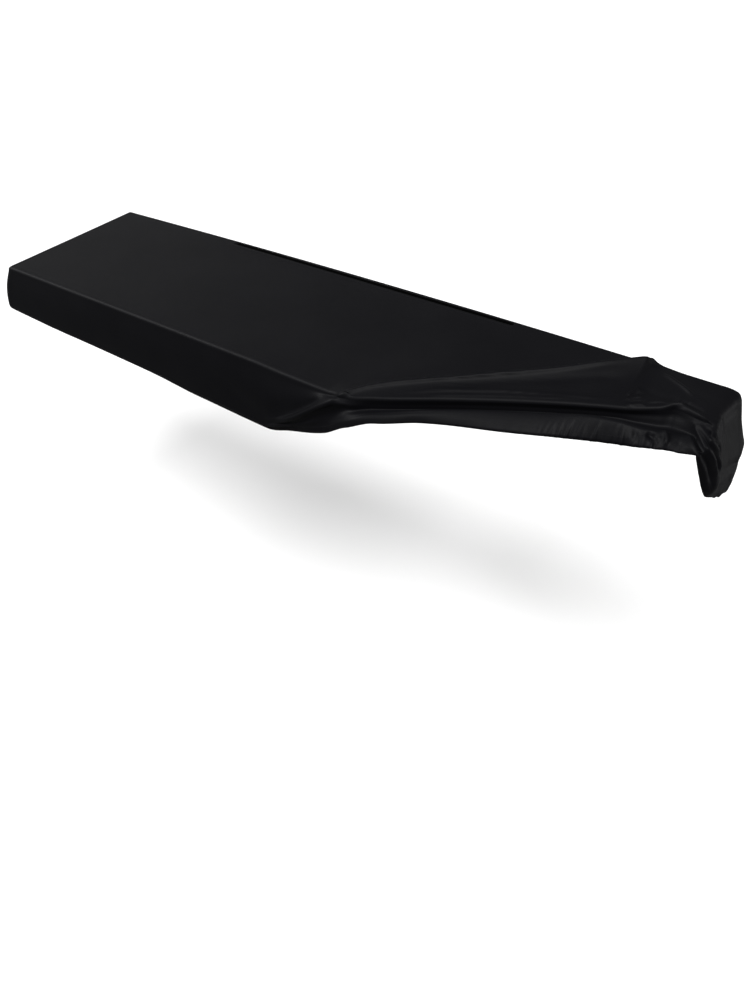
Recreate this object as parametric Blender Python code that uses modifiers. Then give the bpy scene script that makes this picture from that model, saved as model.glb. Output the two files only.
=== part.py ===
"""A fitted cover of stretch cloth, with its right half pulled back.

The cover is one piece of knit cloth: a long top, a skirt round it and a slot near the back edge.
Its left half is pulled tight like a box. At the right the front skirt is lifted over the front
edge and pushed back, so its hem climbs from the front skirt, runs slantwise to the right end and
ends in a bunch that hangs there.

Metres, +Z up, +X along the cover to its right end, +Y to its back. The origin is the middle of
the underside of the top, where the cover is held up.
"""

import bpy
import numpy as np

MM = 0.001

# The cloth and the box that it is pulled over
CLOTH = 2.0 * MM
LENGTH = 1340.0 * MM
DEPTH = 306.0 * MM
SAG = 3.0 * MM
RIM_Z = CLOTH + SAG
SAG_END_POWER = 4
SLACK_END_X = 120.0 * MM
SLACK_BLEND = 160.0 * MM
TIGHT_SHARE = 0.7
BACK_BOW = 6.0 * MM
BACK_RISE = 3.0 * MM
BACK_RISE_POWER = 6
FRONT_DROP_POWER = 8
EDGE_RADIUS = 8.0 * MM
FOLD_RADIUS = 5.0 * MM
FOLD_RADIUS_START_X = 150.0 * MM
FOLD_RADIUS_BLEND = 80.0 * MM
CLOTH_COLOUR = (0.012, 0.012, 0.013, 1.0)
CLOTH_ROUGHNESS = 0.85

# The skirt, which flares, swells and is drawn in again by its elastic hem
LEFT_FLARE = 20.0 * MM
SIDE_FLARE = 8.0 * MM
LEFT_HEM_RISE = 18.0 * MM
SKIRT_DEPTH = 112.0 * MM
HEM_WAVE = 1.5 * MM
HEM_WAVES = 9
BELLY = 6.0 * MM
GUIDE_SHARES = (0.2, 0.4, 0.6, 0.8, 0.93, 1.0)
BELLY_SHARES = (0.55, 0.95, 1.0, 0.85, 0.4, -0.4)

# The slot near the back edge
SLOT_X = (-330.0 * MM, 300.0 * MM)
SLOT_WIDTH = 9.0 * MM
SLOT_TO_EDGE = 8.0 * MM
SLOT_CUT_HEIGHT = 40.0 * MM

# The folds that fan out from the front hem, as places along the cover, in millimetres.
# z is measured from the top of the rim.
FRONT_HEM = [
    # x, y, z
    (-668.0, -161.0, -94.0),
    (-529.0, -160.0, -101.0),
    (-383.0, -159.0, -105.0),
    (-249.0, -159.0, -109.0),
    (-137.0, -159.0, -117.0),
    (25.0, -160.0, -119.0),
    (77.0, -161.0, -104.0),
    (161.0, -162.0, -77.0),
    (209.0, -161.0, -50.0),
    (255.0, -152.0, -31.0),
    (309.0, -117.0, -30.0),
    (433.0, -73.0, -30.0),
    (501.0, -53.0, -30.0),
    (604.0, -20.0, -30.0),
    (622.0, -10.0, -30.0),
    (634.0, 4.0, -30.0),
    (668.0, 13.0, -28.0),
]
SHOULDER = [
    # x, y, z
    (-668.0, -153.0, 0.0),
    (0.0, -153.0, -1.0),
    (70.0, -153.0, -4.0),
    (150.0, -153.0, -5.0),
    (205.0, -152.0, -2.0),
    (240.0, -136.0, 0.0),
    (323.0, -86.0, 0.0),
    (398.0, -43.0, 0.0),
    (518.0, 17.0, 0.0),
    (600.0, 50.0, 0.0),
    (627.0, 60.0, 0.0),
    (668.0, 56.0, 0.0),
]

# The folds of the skirt below the shoulder, out is how far they stand in front of it
SKIRT_RIDGE = [
    # x, out, z
    (25.0, 10.0, -101.0),
    (56.0, 13.0, -88.0),
    (105.0, 17.0, -62.0),
    (134.0, 16.0, -41.0),
    (161.0, 14.0, -23.0),
    (184.0, 9.0, -14.0),
    (205.0, 3.0, -13.0),
    (240.0, 0.0, -13.0),
    (560.0, 0.0, -13.0),
    (610.0, 3.0, -12.0),
    (668.0, 5.0, -10.0),
]
TROUGH = [
    # x, out, z
    (25.0, 9.5, -108.0),
    (56.0, 10.0, -96.0),
    (105.0, 9.0, -74.0),
    (161.0, 9.0, -37.0),
    (206.0, 4.0, -20.0),
    (240.0, 0.0, -17.0),
    (540.0, 0.0, -17.0),
    (600.0, 12.0, -17.0),
    (668.0, 12.0, -14.0),
]
LOWER_RIDGE = [
    # x, out, z
    (25.0, 9.5, -114.0),
    (56.0, 12.0, -102.0),
    (127.0, 15.0, -68.0),
    (181.0, 15.0, -38.0),
    (206.0, 16.0, -25.0),
    (235.0, 23.0, -15.0),
    (273.0, 20.0, -12.0),
    (330.0, 15.0, -12.0),
    (525.0, 15.0, -12.0),
    (584.0, 22.0, -15.0),
    (668.0, 22.0, -19.0),
]
FOLD_START_X = 25.0 * MM
FOLD_BLEND = 180.0 * MM
FOLD_GROWTH = 90.0 * MM
OVERLAP = 7.0 * MM
OVERLAP_END_X = 185.0 * MM

# The guide above the skirt ridge, as shares of the overlap and of the drop from the shoulder
OVERLAP_FADE_SHARE = 0.7
OVERLAP_FADE_RATE = 2.0
STEP_OUT_SHARE = 0.9
STEP_UP_SHARE = 0.5
GUIDE_UP_SHARE = 0.6
GENTLE_SHARE = 0.66
GENTLE_START_SHARE = 0.85
GENTLE_RATE = 4.0

# The ridge that crosses the top from the front edge to the back one
TOP_RIDGE = [
    # x, y, height
    (165.0, -144.0, 0.0),
    (197.0, -142.0, 4.0),
    (221.0, -124.0, 8.0),
    (261.0, -89.0, 11.0),
    (317.0, -46.0, 13.0),
    (372.0, -2.0, 16.0),
    (428.0, 38.0, 18.0),
    (480.0, 85.0, 20.0),
    (526.0, 127.0, 21.0),
    (540.0, 136.0, 20.0),
    (560.0, 136.0, 9.0),
    (580.0, 126.0, 5.0),
    (627.0, 101.0, 3.0),
    (661.0, 88.0, 1.0),
]
RIDGE_FRONT_POWER = 1.4
RIDGE_BACK_WIDTH = 30.0 * MM
RIDGE_ROW_PLAIN_Y = -40.0 * MM
RIDGE_ROW_START_X = 60.0 * MM
RIDGE_ROW_BLEND = 110.0 * MM

# The hem of the right end, from its front corner to its back one, share is along that hem
RIGHT_HEM = [
    # share, x, y, z
    (0.00, 669.0, 13.0, -28.0),
    (0.18, 671.0, 24.0, -68.0),
    (0.36, 673.0, 45.0, -105.0),
    (0.54, 675.0, 76.0, -140.0),
    (0.72, 676.0, 114.0, -162.0),
    (0.87, 675.0, 144.0, -156.0),
    (1.00, 678.0, 157.0, -126.0),
]
ROPE_HEIGHT = 6.0 * MM
ROPE_SHARES = (0.10, 0.34)
ROPE_WIDTH = 0.09
ROPE_LOW_POWER = 1.3
BUNCH_BULGE = 7.0 * MM
BUNCH_START_X = 480.0 * MM
BUNCH_BLEND = 180.0 * MM

# The grid of the sheet
LEFT_COLUMNS = 13
RIGHT_COLUMNS = 40
FRONT_ROWS = 6
BACK_ROWS = 9
ARC_STEPS = 2
GUIDE_STEPS = 2
CORNER_STEP = 4.0 * MM
CORNER_TURN = 12.0 * MM
CORNER_FILL = 0.2
ROW_CROWDING = 1.5
FRONT_ROW_GAP = 3.0 * MM
BACK_ROW_GAP = 1.2 * MM
SHORTEST_RUN = 0.01 * MM


def clear_scene():
    for old in list(bpy.data.objects):
        bpy.data.objects.remove(old, do_unlink=True)


def smoothstep(value):
    share = np.clip(value, 0.0, 1.0)
    return share * share * (3.0 - 2.0 * share)


def gentle_slopes(knots, values):
    """Return the slope at each row of a table, so that a curve through them never overshoots."""
    span = np.diff(knots)
    rate = np.diff(values) / span
    slopes = np.zeros_like(values)
    slopes[0], slopes[-1] = rate[0], rate[-1]
    same_way = rate[:-1] * rate[1:] > 0.0
    first, second = rate[:-1][same_way], rate[1:][same_way]
    before, after = span[:-1][same_way], span[1:][same_way]
    weight = after * 2 + before, after + before * 2
    slopes[1:-1][same_way] = sum(weight) / (weight[0] / first + weight[1] / second)
    return slopes


def curve(table, at, column):
    """Read a column of a table at many places, on a smooth curve through its rows."""
    rows = np.array(table)
    knots, values = rows[:, 0], rows[:, column]
    slopes = gentle_slopes(knots, values)
    at = np.clip(at, knots[0], knots[-1])
    left = np.clip(np.searchsorted(knots, at, side="right") - 1, 0, len(knots) - 2)
    span = knots[left + 1] - knots[left]
    share = (at - knots[left]) / span
    rest = 1.0 - share
    start = values[left] * (1.0 + 2.0 * share) * rest**2 + slopes[left] * span * share * rest**2
    end = values[left + 1] * (3.0 - 2.0 * share) * share**2 - slopes[left + 1] * span * rest * share**2
    return start + end


def line(table, x):
    """Return the points of a fold at many places along the cover, in metres."""
    y = curve(table, x / MM, 1) * MM
    z = curve(table, x / MM, 2) * MM + RIM_Z
    return np.stack([x + np.zeros_like(y), y, z], axis=-1)


def fold(table, x):
    """Return the points of a fold of the skirt, which is given from the shoulder."""
    points = line(table, x)
    points[..., 1] = line(SHOULDER, x)[..., 1] - points[..., 1]
    return points


def back_edge(x):
    """Return how far back the back edge lies and how far it rises, most at its middle."""
    bow = 1.0 - (2.0 * x / LENGTH) ** 2
    return DEPTH / 2 + BACK_BOW * bow, BACK_RISE * bow


def edge_radius(x):
    """The edges of the box are rounder than the fold that the pulled skirt makes."""
    pulled = smoothstep((x - FOLD_RADIUS_START_X) / FOLD_RADIUS_BLEND)
    return EDGE_RADIUS + (FOLD_RADIUS - EDGE_RADIUS) * pulled


def ridge(x):
    """Return where the crest of the top's ridge lies and how high it stands."""
    y = curve(TOP_RIDGE, x / MM, 1) * MM
    height = curve(TOP_RIDGE, x / MM, 2) * MM
    return y, np.where(x > TOP_RIDGE[0][0] * MM, height, 0.0)


def top_height(x, y):
    """Return the height of the top's outer face: the sag, the bow at the back and the ridge."""
    edge_y, edge_rise = back_edge(x)
    across = np.clip((y + DEPTH / 2) / (edge_y + DEPTH / 2), 0.0, 1.0)
    along = np.abs(2.0 * x / LENGTH)
    slack = 1.0 - smoothstep((x - SLACK_END_X) / SLACK_BLEND) * TIGHT_SHARE
    sag = SAG * slack * (1.0 - along**SAG_END_POWER) * 4.0 * across * (1.0 - across)
    crest_y, height = ridge(x)
    shoulder = line(SHOULDER, x)
    behind = 1.0 - smoothstep((y - crest_y) / RIDGE_BACK_WIDTH)
    run = np.maximum(crest_y - shoulder[..., 1], MM)
    before = np.clip((y - shoulder[..., 1]) / run, 0.0, 1.0) ** RIDGE_FRONT_POWER
    raised = height * np.where(y > crest_y, behind, before)
    front_drop = (shoulder[..., 2] - RIM_Z) * (1.0 - across) ** FRONT_DROP_POWER
    return RIM_Z - sag + front_drop + edge_rise * across**BACK_RISE_POWER + raised


def columns():
    """Return the places along the cover where the sheet has a column, closer at the ends."""
    end = LENGTH / 2 - EDGE_RADIUS
    inner = end - 2 * CORNER_STEP
    left = np.linspace(-inner, 0.0, LEFT_COLUMNS - 1)[:-1]
    right = np.linspace(0.0, inner, RIGHT_COLUMNS - 1)
    corner_left = [-end, -end + CORNER_STEP]
    corner_right = [end - CORNER_STEP, end]
    return np.concatenate([corner_left, left, right, corner_right])


def top_rows(x):
    """Return where the rows of each column lie, from the shoulder back to the back edge."""
    front = line(SHOULDER, x)[:, 1] + edge_radius(x)
    back = back_edge(x)[0] - EDGE_RADIUS
    crest = ridge(x)[0]
    on_top = smoothstep((x - RIDGE_ROW_START_X) / RIDGE_ROW_BLEND)
    middle = RIDGE_ROW_PLAIN_Y + (crest - RIDGE_ROW_PLAIN_Y) * on_top
    middle = np.clip(middle, front + FRONT_ROW_GAP * FRONT_ROWS, back - BACK_ROW_GAP * BACK_ROWS)
    near = np.linspace(0.0, 1.0, FRONT_ROWS + 1)
    far = np.linspace(0.0, 1.0, BACK_ROWS + 1)[1:] ** ROW_CROWDING
    first = front[:, None] + (middle - front)[:, None] * near
    second = middle[:, None] + (back - middle)[:, None] * far
    return np.concatenate([first, second], axis=1)


def top_sheet():
    x = columns()
    y = top_rows(x)
    x = np.repeat(x[:, None], y.shape[1], axis=1)
    return np.stack([x, y, top_height(x, y)], axis=-1)


def even_guides(start, hem, out):
    """Return the points that guide a plain column of the skirt: swelled, then drawn in."""
    shares = np.array(GUIDE_SHARES)
    guides = start[:, None, :] + (hem - start)[:, None, :] * shares[None, :, None]
    return guides + out[:, None, :] * BELLY * np.array(BELLY_SHARES)[None, :, None]


def front_guides(start, out, x):
    """Return the guides of the front skirt: plain at the left, on the folds at the right."""
    hem = line(FRONT_HEM, x)
    hem[:, 0] = x * np.where(x < 0.0, 1.0 + LEFT_FLARE / (LENGTH / 2), 1.0)
    plain = even_guides(start, hem, out)
    crest = fold(SKIRT_RIDGE, x)
    step = OVERLAP * (1.0 - smoothstep((x / OVERLAP_END_X - OVERLAP_FADE_SHARE) * OVERLAP_FADE_RATE))
    step = step * smoothstep((x - FOLD_START_X) / FOLD_GROWTH)
    rise = GUIDE_UP_SHARE * OVERLAP + STEP_UP_SHARE * step
    above = crest + np.stack([0.0 * x, STEP_OUT_SHARE * step, rise], axis=-1)
    gentle = start + (crest - start) * GENTLE_SHARE
    near_end = smoothstep((x / OVERLAP_END_X - GENTLE_START_SHARE) * GENTLE_RATE)[:, None]
    above = above + (gentle - above) * near_end
    swell = BELLY * (1.0 - smoothstep(x / OVERLAP_END_X))
    upper = (start + above) / 2 + out * swell[:, None]
    folded = np.stack([upper, above, crest, fold(TROUGH, x), fold(LOWER_RIDGE, x), hem], axis=1)
    share = smoothstep((x - FOLD_START_X + FOLD_BLEND) / FOLD_BLEND)
    return plain + (folded - plain) * share[:, None, None]


def right_guides(start, out, share):
    """Return the guides of the right end: rope-like folds that run down into the bunch."""
    hem = np.stack([curve(RIGHT_HEM, share, axis) * MM for axis in (1, 2, 3)], axis=-1)
    hem[:, 2] += RIM_Z
    guides = even_guides(start, hem, out)
    down = np.sin(np.pi * np.array(GUIDE_SHARES) ** ROPE_LOW_POWER)
    rope = sum(np.exp(-(((share - place) / ROPE_WIDTH) ** 2)) for place in ROPE_SHARES)
    swell = ROPE_HEIGHT * rope + BUNCH_BULGE * np.sin(np.pi * share)
    guides[:, :, 0] += swell[:, None] * down
    return guides


def back_guides(start, out, x):
    """Return the guides of the back skirt, whose hem ends in the bunch at the right."""
    wave = HEM_WAVE * np.sin(2.0 * np.pi * HEM_WAVES * x / LENGTH)
    right = smoothstep((x - BUNCH_START_X) / BUNCH_BLEND)
    corner_y, corner_z = RIGHT_HEM[-1][2] * MM, RIGHT_HEM[-1][3] * MM
    plain_y = DEPTH / 2 + SIDE_FLARE
    hem_y = plain_y + (corner_y - plain_y) * right
    hem_z = RIM_Z - SKIRT_DEPTH + (corner_z + SKIRT_DEPTH) * right + wave * (1.0 - right)
    reach = np.where(x < 0.0, LEFT_FLARE, RIGHT_HEM[-1][1] * MM - LENGTH / 2) / (LENGTH / 2)
    hem = np.stack([x * (1.0 + reach), hem_y, hem_z], axis=-1)
    return even_guides(start, hem, out)


def left_guides(start, out, y):
    """Return the guides of the left end, whose hem rises to its front corner."""
    front = smoothstep((DEPTH / 2 - y) / DEPTH)
    hem_x = np.full_like(y, -LENGTH / 2 - LEFT_FLARE)
    hem_y = y * (1.0 + SIDE_FLARE / (DEPTH / 2))
    hem_z = RIM_Z - SKIRT_DEPTH + LEFT_HEM_RISE * front
    return even_guides(start, np.stack([hem_x, hem_y, hem_z], axis=-1), out)


def through(guides, steps):
    """Return points on a smooth curve through the guides, the first guide left out."""
    run = np.diff(guides, axis=1)
    length = np.maximum(np.linalg.norm(run, axis=2, keepdims=True), SHORTEST_RUN)
    rate = run / length
    inner = rate[:, :-1] * length[:, 1:] + rate[:, 1:] * length[:, :-1]
    inner = inner / (length[:, 1:] + length[:, :-1])
    slope = np.concatenate([rate[:, :1], inner, rate[:, -1:]], axis=1)
    rows = []
    for part in range(1, steps + 1):
        t = part / steps
        start = guides[:, :-1] * (1 + 2 * t) * (1 - t) ** 2 + slope[:, :-1] * length * t * (1 - t) ** 2
        end = guides[:, 1:] * (3 - 2 * t) * t**2 - slope[:, 1:] * length * (1 - t) * t**2
        rows.append(start + end)
    return np.stack(rows, axis=2).reshape(len(guides), -1, 3)


def rim(top):
    """Return the loop of points round the top: front, right end, back and left end."""
    return np.concatenate([top[:-1, 0], top[-1, :-1], top[:0:-1, -1], top[0, :0:-1]])


def outward(point, sides):
    """Return the level direction out of the skirt, turning at each corner of the box."""
    half_x = LENGTH / 2 - EDGE_RADIUS
    to_left = np.clip(1 - (point[:, 0] + half_x) / CORNER_TURN, 0, 1) ** 2
    to_right = np.clip(1 - (half_x - point[:, 0]) / CORNER_TURN, 0, 1) ** 2
    low = np.array([point[sides == side, 1].min() for side in (1, 3)])
    high = np.array([point[sides == side, 1].max() for side in (1, 3)])
    face = np.array([(0, -1), (1, 0), (0, 1), (-1, 0)], dtype=float)[sides]
    turned = face.copy()
    along = np.isin(sides, (0, 2))
    turned[along, 0] += (to_right - to_left)[along]
    for row, side in enumerate((1, 3)):
        here = sides == side
        turned[here, 1] -= np.clip(1 - (point[here, 1] - low[row]) / CORNER_TURN, 0, 1) ** 2
        turned[here, 1] += np.clip(1 - (high[row] - point[here, 1]) / CORNER_TURN, 0, 1) ** 2
    turned = turned / np.linalg.norm(turned, axis=1, keepdims=True)
    return turned * (1.0 + CORNER_FILL * 2.0 * np.abs(turned[:, :1] * turned[:, 1:]))


def skirt_sheet(top):
    """Return the skirt as columns of points, from the rim of the top down to the hem."""
    point = rim(top)
    wide, deep = top.shape[0] - 1, top.shape[1] - 1
    sides = np.repeat([0, 1, 2, 3], [wide, deep, wide, deep])
    out = np.concatenate([outward(point, sides), np.zeros((len(point), 1))], axis=1)
    radius = np.where(sides == 0, edge_radius(point[:, 0]), EDGE_RADIUS)[:, None]
    down = np.array([0.0, 0.0, -1.0])
    rows = [point]
    for part in range(1, ARC_STEPS + 1):
        turn = np.pi / 2 * part / ARC_STEPS
        rows.append(point + radius * (out * np.sin(turn) + down * (1 - np.cos(turn))))
    start = rows[-1]
    share = np.arange(deep) / deep
    guides = np.concatenate([
        front_guides(start[sides == 0], out[sides == 0], point[sides == 0, 0]),
        right_guides(start[sides == 1], out[sides == 1], share),
        back_guides(start[sides == 2], out[sides == 2], point[sides == 2, 0]),
        left_guides(start[sides == 3], out[sides == 3], point[sides == 3, 1]),
    ])
    guides = np.concatenate([start[:, None, :], guides], axis=1)
    return np.concatenate([np.stack(rows, axis=1), through(guides, GUIDE_STEPS)], axis=1)


def faces_of(top, skirt):
    """Return the quads of the top and the skirt, which share the rim's points."""
    wide, deep = top.shape[0], top.shape[1]
    index = np.arange(wide * deep).reshape(wide, deep)
    quads = [np.stack([index[:-1, :-1], index[1:, :-1], index[1:, 1:], index[:-1, 1:]], axis=-1)]
    loop = rim(index[..., None])[:, 0]
    count, depth = skirt.shape[0], skirt.shape[1]
    lower = np.arange(count * (depth - 1)).reshape(count, depth - 1) + wide * deep
    ring = np.concatenate([loop[:, None], lower], axis=1)
    after = np.roll(ring, -1, axis=0)
    quads.append(np.stack([ring[:, :-1], ring[:, 1:], after[:, 1:], after[:, :-1]], axis=-1))
    return np.concatenate([part.reshape(-1, 4) for part in quads])


def cloth_material():
    material = bpy.data.materials.new("black_stretch_knit")
    material.use_nodes = True
    shader = material.node_tree.nodes["Principled BSDF"]
    shader.inputs["Base Color"].default_value = CLOTH_COLOUR
    shader.inputs["Roughness"].default_value = CLOTH_ROUGHNESS
    shader.inputs["Metallic"].default_value = 0.0
    return material


def slot_cutter(collection):
    """Make the bar that cuts the slot, just in front of the back edge."""
    middle_y = back_edge(0.0)[0] - SLOT_TO_EDGE - SLOT_WIDTH / 2
    bpy.ops.mesh.primitive_cube_add(size=1.0)
    cutter = bpy.context.object
    cutter.name = "slot_cutter"
    cutter.location = (sum(SLOT_X) / 2, middle_y, RIM_Z)
    cutter.scale = (SLOT_X[1] - SLOT_X[0], SLOT_WIDTH, SLOT_CUT_HEIGHT)
    cutter.hide_render = True
    cutter.display_type = "WIRE"
    for holder in list(cutter.users_collection):
        holder.objects.unlink(cutter)
    collection.objects.link(cutter)
    return cutter


def build_cover():
    cover = bpy.data.collections.new("piano_cover")
    cutters = bpy.data.collections.new("cutters")
    bpy.context.scene.collection.children.link(cover)
    bpy.context.scene.collection.children.link(cutters)

    top = top_sheet()
    skirt = skirt_sheet(top)
    points = np.concatenate([top.reshape(-1, 3), skirt[:, 1:].reshape(-1, 3)])
    mesh = bpy.data.meshes.new("cover_cloth")
    mesh.from_pydata(points.tolist(), [], faces_of(top, skirt).tolist())
    mesh.validate()
    mesh.shade_smooth()
    cloth = bpy.data.objects.new("cover_cloth", mesh)
    cover.objects.link(cloth)
    mesh.materials.append(cloth_material())

    thickness = cloth.modifiers.new("cloth thickness", "SOLIDIFY")
    thickness.thickness = CLOTH
    thickness.offset = -1.0
    slot = cloth.modifiers.new("slot", "BOOLEAN")
    slot.operation = "DIFFERENCE"
    slot.object = slot_cutter(cutters)


clear_scene()
build_cover()
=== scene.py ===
"""The looks of a fitted cover of stretch cloth, with its right half pulled back.

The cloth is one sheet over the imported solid, worked out from the same named places but finer: its
edges, the folds that fan out from the front hem, the gathered hem, the creases at the right end
and the turned edges with their stitches. Metres, +Z up, +X along the cover, +Y to its back.
"""

import bpy
import numpy as np
from mathutils import Matrix


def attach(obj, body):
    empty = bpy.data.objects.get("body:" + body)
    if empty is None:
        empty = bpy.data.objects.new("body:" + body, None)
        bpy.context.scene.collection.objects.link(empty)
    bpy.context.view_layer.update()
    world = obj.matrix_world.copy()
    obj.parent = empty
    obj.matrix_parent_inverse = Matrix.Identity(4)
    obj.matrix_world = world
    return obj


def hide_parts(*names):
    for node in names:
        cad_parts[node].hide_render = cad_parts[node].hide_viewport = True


MM = 0.001

# Camera, fitted to the picture's edges and corners
FOCAL_PIXELS = 1043.9
FRAME_HEIGHT = 1000.0
SENSOR = 36.0
YAW = 0.73176
PITCH = 0.52973
ROLL = 0.09721
CAMERA_AT = (1.0989, -1.0786, 0.8318)
CAMERA_SHIFT = -0.15

# The cloth and the box that it is pulled over
CLOTH = 1.4 * MM
LENGTH = 1340.0 * MM
DEPTH = 306.0 * MM
SAG = 3.0 * MM
RIM_Z = 5.0 * MM
SAG_END_POWER = 4
SLACK_END_X = 120.0 * MM
SLACK_BLEND = 160.0 * MM
TIGHT_SHARE = 0.7
BACK_BOW = 6.0 * MM
BACK_RISE = 3.0 * MM
BACK_RISE_POWER = 6
FRONT_DROP_POWER = 8
EDGE_RADIUS = 8.0 * MM
FOLD_RADIUS = 5.5 * MM
FOLD_RADIUS_START_X = 150.0 * MM
FOLD_RADIUS_BLEND = 80.0 * MM

# The skirt, which flares, swells and is drawn in again by its elastic hem
LEFT_FLARE = 20.0 * MM
SIDE_FLARE = 8.0 * MM
LEFT_HEM_RISE = 18.0 * MM
SKIRT_DEPTH = 112.0 * MM
HEM_WAVE = 1.5 * MM
HEM_WAVES = 9
BELLY = 6.0 * MM
GUIDE_SHARES = (0.12, 0.28, 0.44, 0.6, 0.74, 0.86, 0.94, 1.0)
BELLY_CURVE = [
    # share, out
    (0.0, 0.0),
    (0.2, 0.55),
    (0.4, 0.95),
    (0.6, 1.0),
    (0.8, 0.85),
    (0.93, 0.4),
    (1.0, -0.4),
]

# The slot near the back edge
SLOT_X = (-330.0 * MM, 300.0 * MM)
SLOT_Y = (142.5 * MM, 150.5 * MM)
SLOT_ROWS = 3
BACK_TURN_SHARE = 0.7

# The folds that fan out from the front hem, as places along the cover, in millimetres.
# z is measured from the top of the rim.
FRONT_HEM = [
    # x, y, z
    (-668.0, -161.0, -94.0),
    (-529.0, -160.0, -101.0),
    (-383.0, -159.0, -105.0),
    (-249.0, -159.0, -109.0),
    (-137.0, -159.0, -117.0),
    (25.0, -160.0, -119.0),
    (77.0, -161.0, -104.0),
    (161.0, -166.0, -74.0),
    (209.0, -169.0, -45.0),
    (255.0, -155.0, -29.0),
    (309.0, -121.0, -28.0),
    (433.0, -69.0, -30.0),
    (470.0, -52.0, -31.0),
    (501.0, -37.0, -32.5),
    (555.0, -14.0, -33.5),
    (590.0, -3.0, -33.5),
    (615.0, 6.0, -32.5),
    (634.0, 10.0, -31.0),
    (668.0, 13.0, -28.0),
]
SHOULDER = [
    # x, y, z
    (-668.0, -153.0, 0.0),
    (0.0, -153.0, -1.0),
    (70.0, -153.0, -4.0),
    (150.0, -153.0, -5.0),
    (205.0, -152.0, -2.0),
    (240.0, -136.0, 0.0),
    (323.0, -86.0, 0.0),
    (398.0, -43.0, 0.0),
    (518.0, 17.0, 0.0),
    (560.0, 35.0, 0.0),
    (595.0, 57.0, 0.0),
    (614.0, 70.0, 0.0),
    (633.0, 67.0, 0.0),
    (650.0, 61.0, 0.0),
    (668.0, 56.0, 0.0),
]

# The folds of the skirt below the shoulder, out is how far they stand in front of it
SKIRT_RIDGE = [
    # x, out, z
    (25.0, 10.0, -101.0),
    (56.0, 13.0, -88.0),
    (105.0, 17.0, -62.0),
    (134.0, 16.0, -41.0),
    (161.0, 14.0, -23.0),
    (184.0, 9.0, -14.0),
    (205.0, 3.0, -13.0),
    (240.0, -1.0, -12.0),
    (560.0, -2.0, -12.0),
    (610.0, 2.0, -12.0),
    (668.0, 5.0, -10.0),
]
TROUGH = [
    # x, out, z
    (25.0, 9.5, -108.0),
    (56.0, 10.0, -96.0),
    (105.0, 13.0, -76.0),
    (135.0, 12.0, -57.0),
    (161.0, 9.0, -39.0),
    (206.0, 1.0, -23.0),
    (240.0, -1.0, -20.0),
    (540.0, -1.0, -20.0),
    (575.0, 4.0, -24.0),
    (600.0, 10.0, -27.0),
    (614.0, 14.0, -28.0),
    (633.0, 12.0, -27.0),
    (668.0, 8.0, -24.0),
]
LOWER_RIDGE = [
    # x, out, z
    (25.0, 9.5, -114.0),
    (56.0, 12.0, -102.0),
    (127.0, 14.0, -69.0),
    (161.0, 11.0, -52.0),
    (181.0, 9.0, -42.0),
    (206.0, 9.0, -29.0),
    (235.0, 13.0, -20.0),
    (273.0, 13.0, -15.0),
    (330.0, 12.0, -12.5),
    (460.0, 14.0, -11.5),
    (525.0, 24.0, -5.5),
    (560.0, 30.0, -7.0),
    (584.0, 36.0, -13.0),
    (600.0, 39.0, -18.0),
    (614.0, 43.0, -19.0),
    (633.0, 34.0, -19.0),
    (650.0, 24.0, -15.0),
    (668.0, 20.0, -12.0),
]
FOLD_START_X = 25.0 * MM
FOLD_BLEND = 180.0 * MM
FOLD_GROWTH = 90.0 * MM
OVERLAP = 7.0 * MM
OVERLAP_END_X = 185.0 * MM

# The guide above the skirt ridge, as shares of the overlap and of the drop from the shoulder
OVERLAP_FADE_SHARE = 0.7
OVERLAP_FADE_RATE = 2.0
STEP_OUT_SHARE = 0.9
STEP_UP_SHARE = 0.5
GUIDE_UP_SHARE = 0.6
GENTLE_SHARE = 0.66
GENTLE_START_SHARE = 0.85
GENTLE_RATE = 4.0
BAND_SWELL = 4.0 * MM

# The ridge that crosses the top from the front edge to the back one
TOP_RIDGE = [
    # x, y, height
    (165.0, -144.0, 0.0),
    (197.0, -142.0, 4.0),
    (221.0, -124.0, 8.0),
    (261.0, -89.0, 11.0),
    (317.0, -46.0, 13.0),
    (372.0, -2.0, 16.0),
    (428.0, 38.0, 18.0),
    (480.0, 85.0, 20.0),
    (518.0, 122.0, 21.0),
    (533.0, 135.0, 20.0),
    (544.0, 137.0, 8.0),
    (554.0, 134.0, 4.5),
    (580.0, 124.0, 4.0),
    (627.0, 100.0, 3.0),
    (661.0, 88.0, 1.0),
]
RIDGE_FRONT_POWER = 1.4
RIDGE_END_POWER = 3.0
RIDGE_END_START_X = 490.0 * MM
RIDGE_END_BLEND = 45.0 * MM
RIDGE_BACK_WIDTH = 30.0 * MM
RIDGE_ROW_PLAIN_Y = -40.0 * MM
RIDGE_ROW_START_X = 60.0 * MM
RIDGE_ROW_BLEND = 110.0 * MM

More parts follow.
